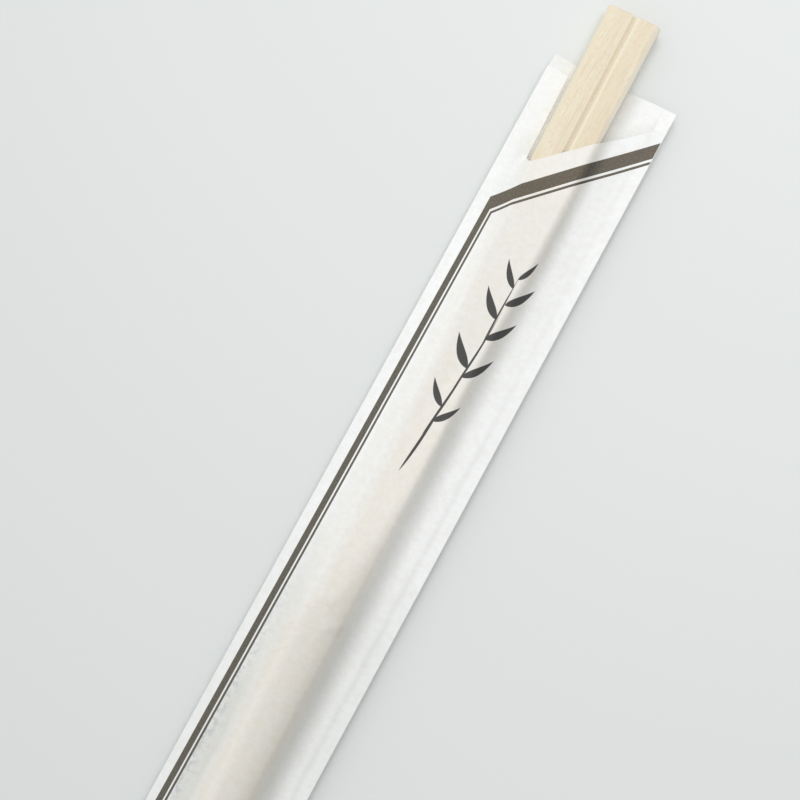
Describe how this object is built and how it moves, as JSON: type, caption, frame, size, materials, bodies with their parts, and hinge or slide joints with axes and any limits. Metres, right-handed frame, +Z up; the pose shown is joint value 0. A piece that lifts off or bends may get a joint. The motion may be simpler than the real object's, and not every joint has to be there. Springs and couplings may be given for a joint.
{
  "type": "disposable wooden chopsticks in a paper sleeve",
  "caption": "Unsplit pair of disposable wooden chopsticks, joined at the butt end, in a flat folded paper sleeve with a slanted mouth and a printed border.",
  "frame": {"origin": "centre of the bounding box at the level of the surface that the sleeve's back lies on", "axes": "+Y along the length towards the butt end, +X across towards the fold that the slanted mouth rises to, +Z up out of the printed front"},
  "size_m": [0.03, 0.2101, 0.0048],
  "materials": {
    "pale_wood": "sawn and planed, bare",
    "white_paper": "thin uncoated paper, printed on the front"
  },
  "bodies": {
    "root": {"chopsticks": "pale_wood", "paper_sleeve": "white_paper"}
  },
  "joints": []
}
